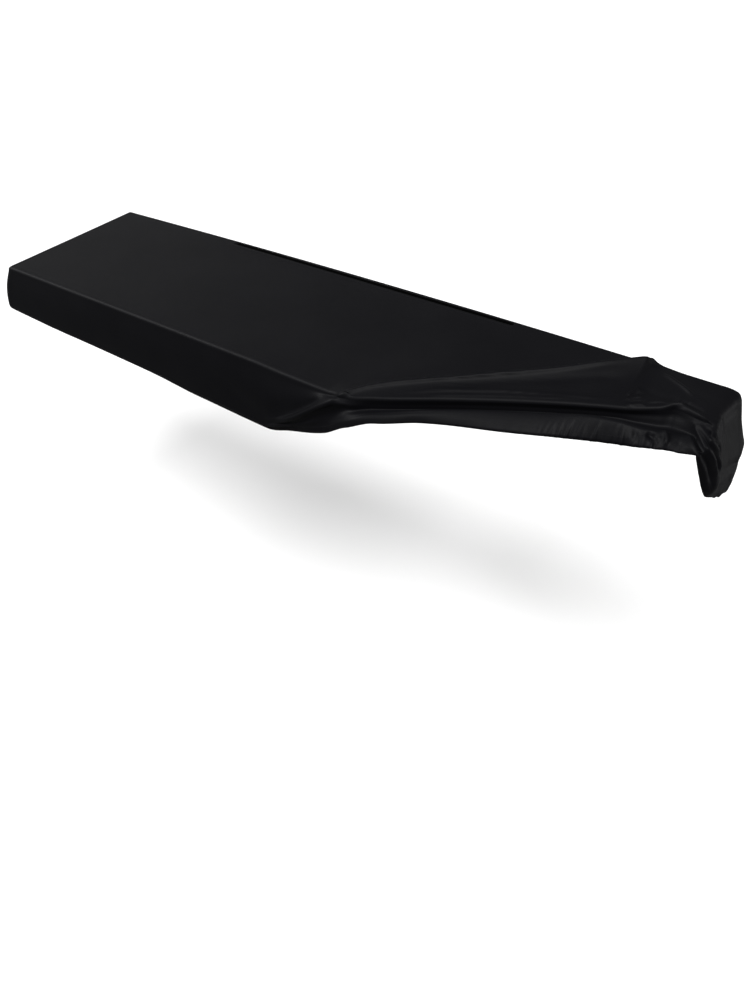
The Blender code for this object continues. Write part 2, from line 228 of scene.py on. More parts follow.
# The hem of the right end, from its front corner to its back one, share is along that hem
RIGHT_HEM = [
    # share, x, y, z
    (0.00, 669.0, 13.0, -28.0),
    (0.14, 671.0, 23.0, -62.0),
    (0.26, 673.0, 29.0, -88.0),
    (0.36, 674.0, 38.0, -107.0),
    (0.46, 674.0, 58.0, -123.0),
    (0.57, 675.0, 86.0, -142.0),
    (0.68, 676.0, 111.0, -154.0),
    (0.78, 677.0, 127.0, -153.0),
    (0.88, 677.0, 139.0, -142.0),
    (0.94, 677.0, 147.0, -125.0),
    (1.00, 678.0, 157.0, -115.0),
]
ROPE_HEIGHT = 4.0 * MM
ROPE_SHARES = (0.10, 0.34)
ROPE_WIDTH = 0.09
ROPE_LOW_POWER = 1.3
BUNCH_BULGE = 2.0 * MM
BUNCH_SHAPE = [
    # share down, out at the front, out at the back
    (0.0, 0.0, 0.0),
    (0.12, 2.0, 0.5),
    (0.28, 4.0, 1.0),
    (0.44, 6.0, 2.0),
    (0.6, 9.0, 3.5),
    (0.74, 11.0, 5.0),
    (0.86, 11.0, 3.0),
    (0.94, 7.0, 0.0),
    (1.0, 0.0, -4.0),
]
BUNCH_FADE = 0.35
NOTCH_START = 0.35
NOTCH_BLEND = 0.35
BUNCH_START_X = 480.0 * MM
BUNCH_BLEND = 180.0 * MM

# The grid of the sheet, its columns lie as close as the folds there need
COLUMN_GAPS = [
    # from x, to x, gap
    (-650.0, 0.0, 14.0),
    (0.0, 100.0, 5.0),
    (100.0, 240.0, 2.8),
    (240.0, 460.0, 4.8),
    (460.0, 634.0, 1.8),
]
CORNER_COLUMNS = 6
FRONT_ROWS = 46
FRONT_CROWDING = 1.3
BACK_ROWS = 14
ARC_STEPS = 5
GUIDE_STEPS = 4
RIGHT_RADIUS = 20.0 * MM
RIGHT_REACH = 23.0 * MM
RIGHT_DROPS = [
    # share of the end from its front, how far its rounded edge drops
    (0.0, 6.0),
    (0.3, 10.0),
    (0.75, 17.0),
    (1.0, 14.0),
]
CORNER_TURN = 12.0 * MM
CORNER_FILL = 0.2
ROW_CROWDING = 1.5
FRONT_ROW_GAP = 0.7 * MM
BACK_ROW_GAP = 0.3 * MM
SHORTEST_RUN = 0.01 * MM
SHORTEST_NORMAL = 1e-12

# The turned hem and the turned edge of the slot
CASING_WIDTH = 13.0 * MM
CASING_HEIGHT = 0.8 * MM
CASING_STEP = 2.5 * MM
GROOVE_DEPTH = 0.6 * MM
GROOVE_SHARE = 0.5
SLOT_TURNING = 8.0 * MM
TURNING_ROWS = (1.0, 0.8, 0.5, 0.2)
TURNING_FALL = 0.25
STITCH_LENGTH = 3.0 * MM
STITCH_PITCH = 4.2 * MM
STITCH_RADIUS = 0.35 * MM
STITCH_FROM_HEM = 11.5 * MM
SLOT_STITCH_SHARE = 0.6
SLOT_STITCH_POINTS = 60

# A stitch is six-sided, with a ring at each of these shares of its half length and of its radius
STITCH_SIDES = 6
STITCH_RINGS = (-1.0, -0.75, 0.75, 1.0)
STITCH_RING_SIZES = (0.35, 1.0, 1.0, 0.35)

# How the elastic gathers the front hem, height, pitch and reach up the cloth in millimetres
FRONT_GATHERS = [
    # x, height, pitch, reach
    (-668.0, 0.15, 9.0, 12.0),
    (30.0, 0.2, 9.0, 12.0),
    (300.0, 0.3, 8.0, 14.0),
    (430.0, 0.6, 7.0, 18.0),
    (480.0, 1.8, 6.5, 20.0),
    (560.0, 3.0, 6.5, 22.0),
    (600.0, 2.4, 7.5, 20.0),
    (668.0, 2.0, 9.0, 18.0),
]
SIDE_GATHERS = (0.4, 9.0, 14.0)
BUNCH_GATHERS = [
    # y, height, pitch, reach
    (10.0, 0.6, 9.0, 8.0),
    (60.0, 0.6, 12.0, 10.0),
    (90.0, 1.8, 14.0, 16.0),
    (155.0, 1.2, 12.0, 14.0),
]
GATHER_SEED = 5

# How unevenly they lie: shift and lean either way, the rest from the least share to the most
GATHER_SHIFT = 0.4
GATHER_LEAN = 0.25
GATHER_HEIGHTS = (0.1, 1.4)
GATHER_WIDTHS = (0.18, 0.42)
GATHER_LENGTHS = (0.4, 1.2)

# The creases, each a ridge along a path, or a dip where its height is negative. They are placed
# one by one, uneven as they are in the picture. A path is x, y, z from the middle of the top, in
# millimetres, as heights and widths are.
CREASES = [
    {
        "what": "pulled edge that climbs over the front edge", "height": 3.2, "width": 4.5,
        "path": [(30, -161, -109), (49, -163, -96), (72, -167, -80), (107, -170, -56),
            (135, -170, -36), (160, -168, -20), (179, -161, -7), (193, -149, 3), (207, -137, 9),
            (233, -112, 13)],
    },
    {
        "what": "dip above the pulled edge", "height": -2.0, "width": 4.0,
        "path": [(45, -162, -88), (72, -163, -72), (105, -165, -48), (135, -164, -26), (158, -160, -8)],
    },
    {
        "what": "sharp crest across the top", "height": 3.0, "width": 4.5,
        "path": [(193, -149, 3), (207, -136, 9), (233, -111, 13), (261, -89, 15), (302, -57, 17),
            (350, -20, 19), (400, 17, 21), (441, 49, 23), (480, 85, 25), (505, 109, 26), (530, 131, 26)],
    },
    {
        "what": "upper crease of the lit band", "height": 1.6, "width": 4.0,
        "path": [(262, -112, 8), (314, -72, 9), (350, -50, 8), (388, -28, 8), (465, 9, 7),
            (510, 31, 6), (540, 52, 7)],
    },
    {
        "what": "lower crease of the lit band", "height": 1.2, "width": 3.0,
        "path": [(300, -92, 6), (319, -80, 6), (355, -58, 6), (392, -36, 6), (438, -12, 6),
            (468, 4, 5), (514, 24, 5)],
    },
    {
        "what": "dip between crest and band", "height": -1.8, "width": 9.0,
        "path": [(300, -72, 12), (350, -35, 14), (400, 0, 15), (450, 35, 15), (500, 72, 15),
            (535, 100, 13)],
    },
    {
        "what": "upper ripple of the knot", "height": 2.8, "width": 2.3,
        "path": [(543, 57, 6), (545, 67, 6), (548, 77, 6), (555, 86, 7)],
    },
    {
        "what": "dip in the knot", "height": -2.5, "width": 2.2,
        "path": [(546, 54, 6), (549, 64, 6), (553, 72, 6), (560, 78, 7)],
    },
    {
        "what": "middle ripple of the knot", "height": 3.0, "width": 2.4,
        "path": [(547, 46, 6), (551, 56, 6), (557, 63, 6), (566, 67, 6)],
    },
    {
        "what": "lower dip in the knot", "height": -2.5, "width": 2.2,
        "path": [(551, 42, 6), (556, 50, 6), (563, 56, 6), (571, 59, 6)],
    },
    {
        "what": "lower ripple of the knot", "height": 3.0, "width": 2.4,
        "path": [(554, 36, 5), (561, 43, 6), (568, 48, 6), (577, 52, 6)],
    },
    {
        "what": "hollow right of the knot", "height": -2.5, "width": 8.0,
        "path": [(552, 92, 9), (565, 84, 8), (580, 80, 7), (598, 84, 7), (610, 92, 7)],
    },
    {
        "what": "thin crease from the knot to the end", "height": 2.6, "width": 2.8,
        "path": [(566, 52, 5), (580, 62, 5), (591, 70, 6), (606, 72, 6), (615, 77, 6), (621, 86, 7),
            (627, 98, 8)],
    },
    {
        "what": "lip over the dark hollow", "height": 2.4, "width": 3.0,
        "path": [(590, 58, 5), (606, 70, 5), (614, 76, 5), (633, 72, 5), (648, 67, 5), (660, 62, 3)],
    },
    {
        "what": "dip above the lip", "height": -2.2, "width": 4.0,
        "path": [(608, 84, 6), (622, 83, 6), (636, 80, 5), (650, 76, 4)],
    },
    {
        "what": "slanting crease of the top", "height": 2.4, "width": 2.8,
        "path": [(558, 133, 13), (566, 129, 12), (576, 126, 10), (589, 120, 10), (602, 114, 9),
            (614, 107, 8), (624, 101, 8)],
    },
    {
        "what": "first rope", "height": 4.0, "width": 3.5,
        "path": [(658, 42, -10), (666, 41, -9), (673, 40, -10), (679, 43, -18), (683, 51, -34),
            (687, 54, -50), (688, 55, -66)],
    },
    {
        "what": "dip right of the first rope", "height": -4.5, "width": 3.5,
        "path": [(668, 50, -5), (674, 50, -9), (679, 53, -17), (683, 61, -34), (686, 63, -52),
            (688, 62, -66), (688, 58, -80)],
    },
    {
        "what": "second rope", "height": 4.0, "width": 3.5,
        "path": [(655, 29, -17), (665, 28, -14), (673, 28, -14), (680, 32, -24), (684, 38, -42),
            (686, 43, -58), (686, 46, -74)],
    },
    {
        "what": "dip between the ropes", "height": -4.0, "width": 2.8,
        "path": [(660, 36, -13), (668, 34, -11), (675, 34, -13), (681, 38, -25), (685, 45, -43),
            (687, 49, -60), (687, 51, -76)],
    },
    {
        "what": "dip below the second rope", "height": -5.0, "width": 4.0,
        "path": [(656, 20, -22), (666, 19, -20), (674, 20, -24), (680, 24, -38), (683, 30, -54),
            (683, 36, -72), (682, 42, -92)],
    },
    {
        "what": "notch over the bunch", "height": -6.0, "width": 4.5,
        "path": [(688, 52, -62), (688, 66, -72), (687, 82, -82), (685, 100, -91), (684, 118, -99),
            (682, 136, -106), (680, 152, -110)],
    },
    {
        "what": "fold in the bunch", "height": -4.0, "width": 4.5,
        "path": [(687, 50, -92), (688, 66, -100), (688, 82, -108), (687, 100, -115), (684, 118, -121)],
    },
    {
        "what": "ridge in the bunch", "height": 2.5, "width": 4.0,
        "path": [(687, 58, -80), (688, 72, -90), (688, 88, -99), (686, 106, -107), (684, 124, -113)],
    },
    {
        "what": "dip that runs down the end", "height": -2.0, "width": 3.5,
        "path": [(668, 90, -1), (672, 88, -6), (676, 87, -18), (679, 86, -34), (681, 84, -48)],
    },
    {
        "what": "dip that runs back along the end", "height": -2.2, "width": 4.5,
        "path": [(673, 80, -8), (673, 94, -9), (673, 110, -11), (674, 126, -13), (674, 140, -14)],
    },
    {
        "what": "hem's folded corner", "height": 5.5, "width": 3.0,
        "path": [(604, 30, -12), (613, 29, -13), (621, 24, -15), (625, 15, -18), (623, 6, -22)],
    },
    {
        "what": "dip beside the hem's folded corner", "height": -5.0, "width": 4.0,
        "path": [(594, 16, -15), (605, 15, -17), (612, 9, -20), (613, 0, -24)],
    },
    {
        "what": "dip in the hem band", "height": -2.6, "width": 4.0,
        "path": [(578, 14, -12), (584, 6, -15), (590, -4, -19)],
    },
    {
        "what": "dip in the end of the hem band", "height": -3.0, "width": 4.0,
        "path": [(632, 28, -16), (640, 20, -19), (646, 12, -23)],
    },
    {
        "what": "ridge in the end of the hem band", "height": 2.8, "width": 3.5,
        "path": [(641, 30, -17), (650, 22, -20), (656, 14, -24)],
    },
    {
        "what": "light lip under the knot", "height": 2.6, "width": 3.0,
        "path": [(556, 22, -11), (571, 18, -11), (586, 18, -12), (600, 21, -13), (616, 26, -14)],
    },
]
CREASE_FADE = 0.22
CREASE_STEPS = 12
CREASE_REACH = 3.0

# Soft far lights: their turn from +X and their height, how wide they look, all in degrees
LIGHTS = [
    # name, turn, height, width, strength
    ("high front", 292.0, 74.0, 45.0, 1.1),
    ("above the viewer", 316.0, 52.0, 20.0, 3.6),
    ("front left", 211.0, 37.0, 20.0, 2.7),
    ("low right", 40.0, -8.0, 45.0, 0.9),
    ("back left", 157.0, 30.0, 40.0, 0.25),
]
WORLD_STRENGTH = 0.18
LIGHT_AWAY = 3.0

# The knit is 0.6 mm a stitch in such cloth, and is drawn 1.5 mm wide so that it shows
WALE = 1.5 * MM
COURSE = 1.2 * MM
HALF_STITCH = 0.5

# The brushed face has tufts 1.1 mm apart, its dye is cloudy over 0.14 m, and the thread has a turn
# of its twist each 0.4 mm
TUFTS_A_METRE = 900.0
CLOUDS_A_METRE = 7.0
TWISTS_A_METRE = 2500.0


def smoothstep(value):
    """Return 3 t^2 - 2 t^3, with t held between nought and one."""
    share = np.clip(value, 0.0, 1.0)
    return share * share * (3.0 - 2.0 * share)


def gentle_slopes(knots, values):
    """Return the slope at each row of a table, so that a curve through them never overshoots."""
    span = np.diff(knots)
    rate = np.diff(values) / span
    slopes = np.zeros_like(values)
    slopes[0], slopes[-1] = rate[0], rate[-1]
    same_way = rate[:-1] * rate[1:] > 0.0
    first, second = rate[:-1][same_way], rate[1:][same_way]
    before, after = span[:-1][same_way], span[1:][same_way]
    weight = after * 2 + before, after + before * 2
    slopes[1:-1][same_way] = sum(weight) / (weight[0] / first + weight[1] / second)
    return slopes


def curve(table, at, column):
    """Read a column of a table at many places, on a cubic curve through its rows."""
    rows = np.array(table)
    knots, values = rows[:, 0], rows[:, column]
    slopes = gentle_slopes(knots, values)
    at = np.clip(at, knots[0], knots[-1])
    left = np.clip(np.searchsorted(knots, at, side="right") - 1, 0, len(knots) - 2)
    span = knots[left + 1] - knots[left]
    share = (at - knots[left]) / span
    rest = 1.0 - share
    start = values[left] * (1.0 + 2.0 * share) * rest**2 + slopes[left] * span * share * rest**2
    end = values[left + 1] * (3.0 - 2.0 * share) * share**2 - slopes[left + 1] * span * rest * share**2
    return start + end


def line(table, x):
    """Return the points of a fold at many places along the cover, in metres."""
    y = curve(table, x / MM, 1) * MM
    z = curve(table, x / MM, 2) * MM + RIM_Z
    return np.stack([x + np.zeros_like(y), y, z], axis=-1)


def fold(table, x):
    """Return the points of a fold of the skirt, which is given from the shoulder."""
    points = line(table, x)
    points[..., 1] = line(SHOULDER, x)[..., 1] - points[..., 1]
    return points


def back_edge(x):
    """Return how far back the back edge lies and how far it rises, most at its middle."""
    bow = 1.0 - (2.0 * x / LENGTH) ** 2
    return DEPTH / 2 + BACK_BOW * bow, BACK_RISE * bow


def edge_radius(x):
    """The edges of the box are rounder than the fold that the pulled skirt makes."""
    pulled = smoothstep((x - FOLD_RADIUS_START_X) / FOLD_RADIUS_BLEND)
    return EDGE_RADIUS + (FOLD_RADIUS - EDGE_RADIUS) * pulled


def ridge(x):
    """Return where the crest of the top's ridge lies and how high it stands."""
    y = curve(TOP_RIDGE, x / MM, 1) * MM
    height = curve(TOP_RIDGE, x / MM, 2) * MM
    return y, np.where(x > TOP_RIDGE[0][0] * MM, height, 0.0)


def top_height(x, y):
    """Return the height of the top: its sag, a parabola, the bow at its back and the ridge."""
    edge_y, edge_rise = back_edge(x)
    across = np.clip((y + DEPTH / 2) / (edge_y + DEPTH / 2), 0.0, 1.0)
    along = np.abs(2.0 * x / LENGTH)
    slack = 1.0 - smoothstep((x - SLACK_END_X) / SLACK_BLEND) * TIGHT_SHARE
    sag = SAG * slack * (1.0 - along**SAG_END_POWER) * 4.0 * across * (1.0 - across)
    crest_y, height = ridge(x)
    shoulder = line(SHOULDER, x)
    behind = 1.0 - smoothstep((y - crest_y) / RIDGE_BACK_WIDTH)
    run = np.maximum(crest_y - shoulder[..., 1], MM)
    at_end = smoothstep((x - RIDGE_END_START_X) / RIDGE_END_BLEND)
    power = RIDGE_FRONT_POWER + (RIDGE_END_POWER - RIDGE_FRONT_POWER) * at_end
    before = np.clip((y - shoulder[..., 1]) / run, 0.0, 1.0) ** power
    raised = height * np.where(y > crest_y, behind, before)
    front_drop = (shoulder[..., 2] - RIM_Z) * (1.0 - across) ** FRONT_DROP_POWER
    return RIM_Z - sag + front_drop + edge_rise * across**BACK_RISE_POWER + raised


def columns():
    """Return the places along the cover where the sheet has a column, closer at its folds."""
    corner = CORNER_TURN * np.linspace(0.0, 1.0, CORNER_COLUMNS + 1)
    left_end, right_end = LENGTH / 2 - EDGE_RADIUS, LENGTH / 2 - RIGHT_RADIUS
    spans = [np.arange(start, end, gap) * MM for start, end, gap in COLUMN_GAPS]
    between = np.concatenate(spans)
    inside = (between > -left_end + CORNER_TURN + MM) & (between < right_end - CORNER_TURN - MM)
    x = np.concatenate([-left_end + corner, between[inside], right_end - corner[::-1]])
    for edge in SLOT_X:
        x[np.argmin(np.abs(x - edge))] = edge
    return x


def top_rows(x):
    """Return where the rows of each column lie, from the shoulder back to the back edge."""
    front = line(SHOULDER, x)[:, 1] + edge_radius(x)
    back = back_edge(x)[0] - EDGE_RADIUS * BACK_TURN_SHARE
    slot = np.linspace(SLOT_Y[0], SLOT_Y[1], SLOT_ROWS + 1)
    slot = np.concatenate([SLOT_Y[0] - SLOT_TURNING * np.array(TURNING_ROWS), slot])
    gaps = np.arange(len(slot), 0, -1) * BACK_ROW_GAP
    slot_rows = np.minimum(slot, back[:, None] - gaps)
    crest = ridge(x)[0]
    on_top = smoothstep((x - RIDGE_ROW_START_X) / RIDGE_ROW_BLEND)
    middle = RIDGE_ROW_PLAIN_Y + (crest - RIDGE_ROW_PLAIN_Y) * on_top
    last = slot_rows[:, 0]
    middle = np.clip(middle, front + FRONT_ROW_GAP * FRONT_ROWS, last - BACK_ROW_GAP * BACK_ROWS / 2)
    near = np.linspace(0.0, 1.0, FRONT_ROWS + 1) ** FRONT_CROWDING
    far = np.linspace(0.0, 1.0, BACK_ROWS + 1)[1:-1] ** ROW_CROWDING
    first = front[:, None] + (middle - front)[:, None] * near
    second = middle[:, None] + (last - middle)[:, None] * far
    return np.concatenate([first, second, slot_rows, back[:, None]], axis=1)


def top_sheet():
    """Return the grid of the top, the height over each of its places."""
    x = columns()
    y = top_rows(x)
    x = np.repeat(x[:, None], y.shape[1], axis=1)
    return np.stack([x, y, top_height(x, y)], axis=-1)


def even_guides(start, hem, out):
    """Return the points that guide a plain column of the skirt: swelled, then drawn in."""
    shares = np.array(GUIDE_SHARES)
    guides = start[:, None, :] + (hem - start)[:, None, :] * shares[None, :, None]
    return guides + out[:, None, :] * BELLY * curve(BELLY_CURVE, shares, 1)[None, :, None]


def bunched(guides, start, hem, out, amount, back):
    """Turn guides into those of the bunch: drawn in by a notch, rolled out, then tucked under."""
    shares = np.array(GUIDE_SHARES)
    straight = start[:, None, :] + (hem - start)[:, None, :] * shares[None, :, None]
    front_shape, back_shape = (curve(BUNCH_SHAPE, shares, column) * MM for column in (1, 2))
    shape = front_shape + (back_shape - front_shape) * back[:, None]
    rolled = straight + out[:, None, :] * shape[:, :, None]
    return guides + (rolled - guides) * amount[:, None, None]


def front_guides(start, out, x):
    """Return the guides of the front skirt: plain at the left, on the folds at the right."""
    hem = line(FRONT_HEM, x)
    hem[:, 0] = x * np.where(x < 0.0, 1.0 + LEFT_FLARE / (LENGTH / 2), 1.0)
    plain = even_guides(start, hem, out)
    crest = fold(SKIRT_RIDGE, x)
    step = OVERLAP * (1.0 - smoothstep((x / OVERLAP_END_X - OVERLAP_FADE_SHARE) * OVERLAP_FADE_RATE))
    step = step * smoothstep((x - FOLD_START_X) / FOLD_GROWTH)
    rise = GUIDE_UP_SHARE * OVERLAP + STEP_UP_SHARE * step
    above = crest + np.stack([0.0 * x, STEP_OUT_SHARE * step, rise], axis=-1)
    gentle = start + (crest - start) * GENTLE_SHARE
    near_end = smoothstep((x / OVERLAP_END_X - GENTLE_START_SHARE) * GENTLE_RATE)[:, None]
    above = above + (gentle - above) * near_end
    swell = BELLY * (1.0 - smoothstep(x / OVERLAP_END_X))
    upper = (start + above) / 2 + out * swell[:, None]
    trough = fold(TROUGH, x)
    low = fold(LOWER_RIDGE, x)
    wall = (crest + trough) / 2
    band = (low + hem) / 2
    band[:, 2] += BAND_SWELL
    folded = np.stack([upper, above, crest, wall, trough, low, band, hem], axis=1)
    share = smoothstep((x - FOLD_START_X + FOLD_BLEND) / FOLD_BLEND)
    return plain + (folded - plain) * share[:, None, None]


def right_guides(start, out, share):
    """Return the guides of the right end: rope-like folds that run down into the bunch."""
    hem = np.stack([curve(RIGHT_HEM, share, axis) * MM for axis in (1, 2, 3)], axis=-1)
    hem[:, 2] += RIM_Z
    guides = even_guides(start, hem, out)
    notch = smoothstep((share - NOTCH_START) / NOTCH_BLEND)
    guides = bunched(guides, start, hem, out, smoothstep(share / BUNCH_FADE), notch)
    down = np.sin(np.pi * np.array(GUIDE_SHARES) ** ROPE_LOW_POWER)
    rope = sum(np.exp(-(((share - place) / ROPE_WIDTH) ** 2)) for place in ROPE_SHARES)
    swell = ROPE_HEIGHT * rope + BUNCH_BULGE * np.sin(np.pi * share)
    guides[:, :, 0] += swell[:, None] * down
    return guides


def back_guides(start, out, x):
    """Return the guides of the back skirt, whose hem ends in the bunch at the right."""
    wave = HEM_WAVE * np.sin(2.0 * np.pi * HEM_WAVES * x / LENGTH)
    right = smoothstep((x - BUNCH_START_X) / BUNCH_BLEND)
    corner_y, corner_z = RIGHT_HEM[-1][2] * MM, RIGHT_HEM[-1][3] * MM
    plain_y = DEPTH / 2 + SIDE_FLARE
    hem_y = plain_y + (corner_y - plain_y) * right
    hem_z = RIM_Z - SKIRT_DEPTH + (corner_z + SKIRT_DEPTH) * right + wave * (1.0 - right)
    reach = np.where(x < 0.0, LEFT_FLARE, RIGHT_HEM[-1][1] * MM - LENGTH / 2) / (LENGTH / 2)
    hem = np.stack([x * (1.0 + reach), hem_y, hem_z], axis=-1)
    return bunched(even_guides(start, hem, out), start, hem, out, right**2, np.ones_like(x))


def left_guides(start, out, y):
    """Return the guides of the left end, whose hem rises to its front corner."""
    front = smoothstep((DEPTH / 2 - y) / DEPTH)
    hem_x = np.full_like(y, -LENGTH / 2 - LEFT_FLARE)
    hem_y = y * (1.0 + SIDE_FLARE / (DEPTH / 2))
    hem_z = RIM_Z - SKIRT_DEPTH + LEFT_HEM_RISE * front
    return even_guides(start, np.stack([hem_x, hem_y, hem_z], axis=-1), out)


def through(guides, steps):
    """Return points on a cubic curve through the guides, the first guide left out."""
    run = np.diff(guides, axis=1)
    length = np.maximum(np.linalg.norm(run, axis=2, keepdims=True), SHORTEST_RUN)
    rate = run / length
    inner = rate[:, :-1] * length[:, 1:] + rate[:, 1:] * length[:, :-1]
    inner = inner / (length[:, 1:] + length[:, :-1])
    slope = np.concatenate([rate[:, :1], inner, rate[:, -1:]], axis=1)
    rows = []
    for part in range(1, steps + 1):
        t = part / steps
        start = guides[:, :-1] * (1 + 2 * t) * (1 - t) ** 2 + slope[:, :-1] * length * t * (1 - t) ** 2
        end = guides[:, 1:] * (3 - 2 * t) * t**2 - slope[:, 1:] * length * (1 - t) * t**2
        rows.append(start + end)
    return np.stack(rows, axis=2).reshape(len(guides), -1, 3)


def rim(top):
    """Return the loop of points round the top: front, right end, back and left end."""
    return np.concatenate([top[:-1, 0], top[-1, :-1], top[:0:-1, -1], top[0, :0:-1]])


def near_right_end(point):
    """Return nought along the cover and one at its right end, rising over the corner."""
    return np.clip(1 - (LENGTH / 2 - RIGHT_RADIUS - point[:, 0]) / CORNER_TURN, 0, 1) ** 2


def outward(point, sides):
    """Return the level direction out of the skirt, turning at each corner of the box."""
    to_left = np.clip(1 - (point[:, 0] + LENGTH / 2 - EDGE_RADIUS) / CORNER_TURN, 0, 1) ** 2
    to_right = near_right_end(point)
    low = np.array([point[sides == side, 1].min() for side in (1, 3)])
    high = np.array([point[sides == side, 1].max() for side in (1, 3)])
    face = np.array([(0, -1), (1, 0), (0, 1), (-1, 0)], dtype=float)[sides]
    turned = face.copy()
    along = np.isin(sides, (0, 2))
    turned[along, 0] += (to_right - to_left)[along]
    for row, side in enumerate((1, 3)):
        here = sides == side
        turned[here, 1] -= np.clip(1 - (point[here, 1] - low[row]) / CORNER_TURN, 0, 1) ** 2
        turned[here, 1] += np.clip(1 - (high[row] - point[here, 1]) / CORNER_TURN, 0, 1) ** 2
    turned = turned / np.linalg.norm(turned, axis=1, keepdims=True)
    return turned * (1.0 + CORNER_FILL * 2.0 * np.abs(turned[:, :1] * turned[:, 1:]))


def edge_turn(point, out, sides):
    """Return how far out and how far down the cloth goes as it turns over the edge of the top.

    It is a circle along the front, the back and the left end, and a flat oval at the right end,
    where it drops further towards the back.
    """
    plain = np.where(sides == 0, edge_radius(point[:, 0]), EDGE_RADIUS)
    right = point[:, 0] > 0.0
    wide = out * np.stack([np.where(right, RIGHT_REACH, EDGE_RADIUS), plain, 0.0 * plain], axis=-1)
    share = np.where(sides == 2, 1.0, 0.0)
    at_end = sides == 1
    share[at_end] = np.arange(at_end.sum()) / at_end.sum()
    oval = curve(RIGHT_DROPS, share, 1) * MM
    sideways = np.clip(np.abs(out[:, 0]), 0.0, 1.0) ** 2 * right
    drop = plain + (oval - plain) * sideways
    return wide, np.stack([0.0 * drop, 0.0 * drop, drop], axis=-1)


def sides_of(top):
    """Return for each point of the rim which side it starts: 0 front, 1 right, 2 back, 3 left."""
    wide, deep = top.shape[0] - 1, top.shape[1] - 1
    return np.repeat([0, 1, 2, 3], [wide, deep, wide, deep])


def skirt_sheet(top):
    """Return the skirt as columns of points: a quarter circle, then a curve down to the hem."""
    point = rim(top)
    sides = sides_of(top)
    deep = top.shape[1] - 1
    out = np.concatenate([outward(point, sides), np.zeros((len(point), 1))], axis=1)
    share = np.arange(deep) / deep
    wide, drop = edge_turn(point, out, sides)
    rows = [point]
    for part in range(1, ARC_STEPS + 1):
        turn = np.pi / 2 * part / ARC_STEPS
        rows.append(point + wide * np.sin(turn) - drop * (1 - np.cos(turn)))
    start = rows[-1]
    guides = np.concatenate([
        front_guides(start[sides == 0], out[sides == 0], point[sides == 0, 0]),
        right_guides(start[sides == 1], out[sides == 1], share),
        back_guides(start[sides == 2], out[sides == 2], point[sides == 2, 0]),
        left_guides(start[sides == 3], out[sides == 3], point[sides == 3, 1]),
    ])
    guides = np.concatenate([start[:, None, :], guides], axis=1)
    return np.concatenate([np.stack(rows, axis=1), through(guides, GUIDE_STEPS)], axis=1)


def cloth_index(top, skirt):
    """Return the numbers of the top's points and of the skirt's, which share those of the rim."""
    wide, deep = top.shape[:2]
    index = np.arange(wide * deep).reshape(wide, deep)
    loop = rim(index[..., None])[:, 0]
    count, depth = skirt.shape[:2]
    lower = np.arange(count * (depth - 1)).reshape(count, depth - 1) + wide * deep
    return index, np.concatenate([loop[:, None], lower], axis=1)


def top_faces(index, top):
    """Return the quads of the top, less those in the slot, and their corners' column and row."""
    wide, deep = index.shape
    column, row = np.meshgrid(np.arange(wide - 1), np.arange(deep - 1), indexing="ij")
    corners = np.array([(0, 0), (1, 0), (1, 1), (0, 1)])
    x = top[:, 0, 0]
    first_row = deep - 2 - SLOT_ROWS
    middle = (x[:-1] + x[1:]) / 2
    in_length = (middle > SLOT_X[0]) & (middle < SLOT_X[1])
    in_slot = in_length[column] & (row >= first_row) & (row < first_row + SLOT_ROWS)
    column, row = column[~in_slot], row[~in_slot]
    columns_of = column[:, None] + corners[:, 0]
    rows_of = row[:, None] + corners[:, 1]
    return index[columns_of, rows_of], columns_of, rows_of


def skirt_faces(ring):
    """Return the quads of the skirt, between each column and the next one round it."""
    after = np.roll(ring, -1, axis=0)
    return np.stack([ring[:, :-1], ring[:, 1:], after[:, 1:], after[:, :-1]], axis=-1)


def point_normals(points, quads):
    """Return each point's normal: the cross products of its quads' diagonals, added up."""
    corner = points[quads]
    across = np.cross(corner[:, 2] - corner[:, 0], corner[:, 3] - corner[:, 1])
    normals = np.zeros_like(points)
    np.add.at(normals, quads.ravel(), np.repeat(across, 4, axis=0))
    length = np.linalg.norm(normals, axis=1, keepdims=True)
    return normals / np.maximum(length, SHORTEST_NORMAL)


def hem_runs(skirt):
    """Return each skirt point's length of cloth down to the hem, and its place along the hem."""
    run = np.linalg.norm(np.diff(skirt, axis=1), axis=2)
    to_hem = np.concatenate([np.cumsum(run[:, ::-1], axis=1)[:, ::-1], np.zeros((len(skirt), 1))], axis=1)
    gap = np.linalg.norm(np.diff(skirt[:, -1], axis=0), axis=1)
    along = np.concatenate([[0.0], np.cumsum(gap)])
    return to_hem, along


